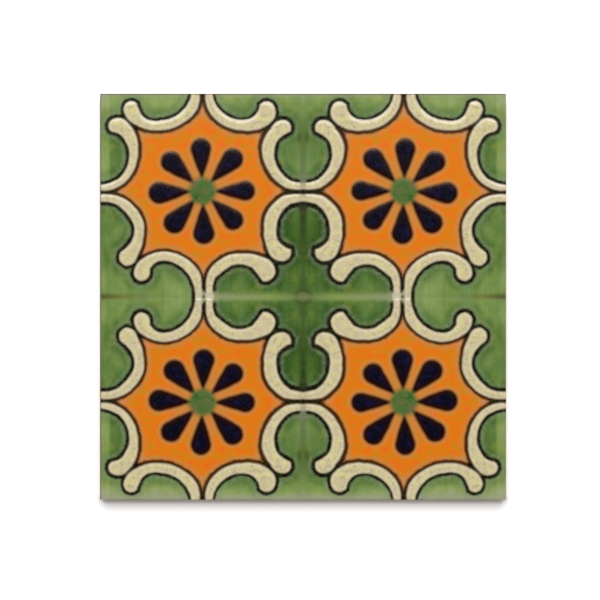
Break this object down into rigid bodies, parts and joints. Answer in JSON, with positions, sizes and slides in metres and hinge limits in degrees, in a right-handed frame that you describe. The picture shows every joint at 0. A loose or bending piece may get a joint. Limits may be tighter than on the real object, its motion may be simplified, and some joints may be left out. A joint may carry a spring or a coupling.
{
  "type": "decorative glazed ceramic tile",
  "caption": "Square glazed ceramic tile with a keyed back, its face showing a repeated star flower framed by cream scrolls, for walls and light floors.",
  "frame": {"origin": "middle of the keyed back, on the surface that the tile lies on", "axes": "+Z up through the glazed face, +X to the right and +Y up as the face is seen in its picture"},
  "size_m": [0.2, 0.2, 0.008],
  "materials": {
    "glazed_ceramic": "gloss"
  },
  "bodies": {
    "root": {"tile": "glazed_ceramic"}
  },
  "joints": []
}
